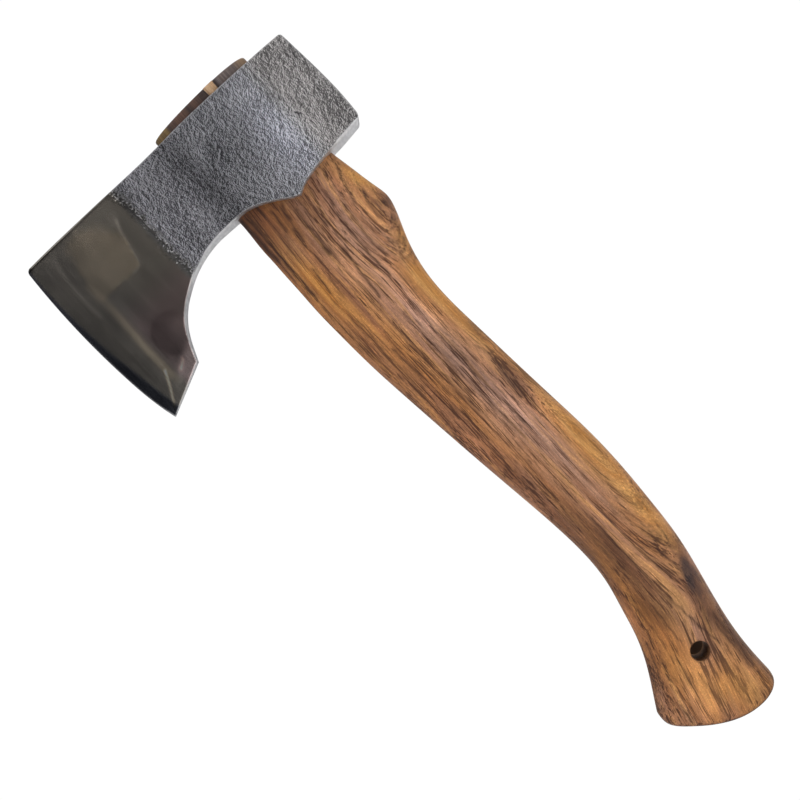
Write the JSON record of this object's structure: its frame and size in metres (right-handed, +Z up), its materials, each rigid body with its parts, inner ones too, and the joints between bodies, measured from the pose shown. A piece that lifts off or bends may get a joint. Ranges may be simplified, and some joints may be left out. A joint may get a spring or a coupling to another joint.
{
  "type": "hatchet",
  "caption": "Short hatchet: forged bearded steel head with a polished convex bit, wedged onto a curved oiled hardwood handle with a flared butt and a cord hole.",
  "frame": {"origin": "on the axis of the cord hole in the butt, at half the handle's thickness", "axes": "+Z up along the handle to the head, -X towards the cutting edge, +X towards the poll, +Y across the cheeks along the cord hole's axis"},
  "size_m": [0.1588, 0.0304, 0.3705],
  "materials": {
    "forged_steel": "dark forged cheeks, polished bit",
    "handle_wood": "oiled, satin",
    "dark_wedge_wood": "oiled",
    "pale_wedge_wood": "oiled"
  },
  "bodies": {
    "root": {"head": "forged_steel", "handle": "handle_wood", "main_wedge": "dark_wedge_wood", "cross_wedge": "pale_wedge_wood"}
  },
  "joints": []
}
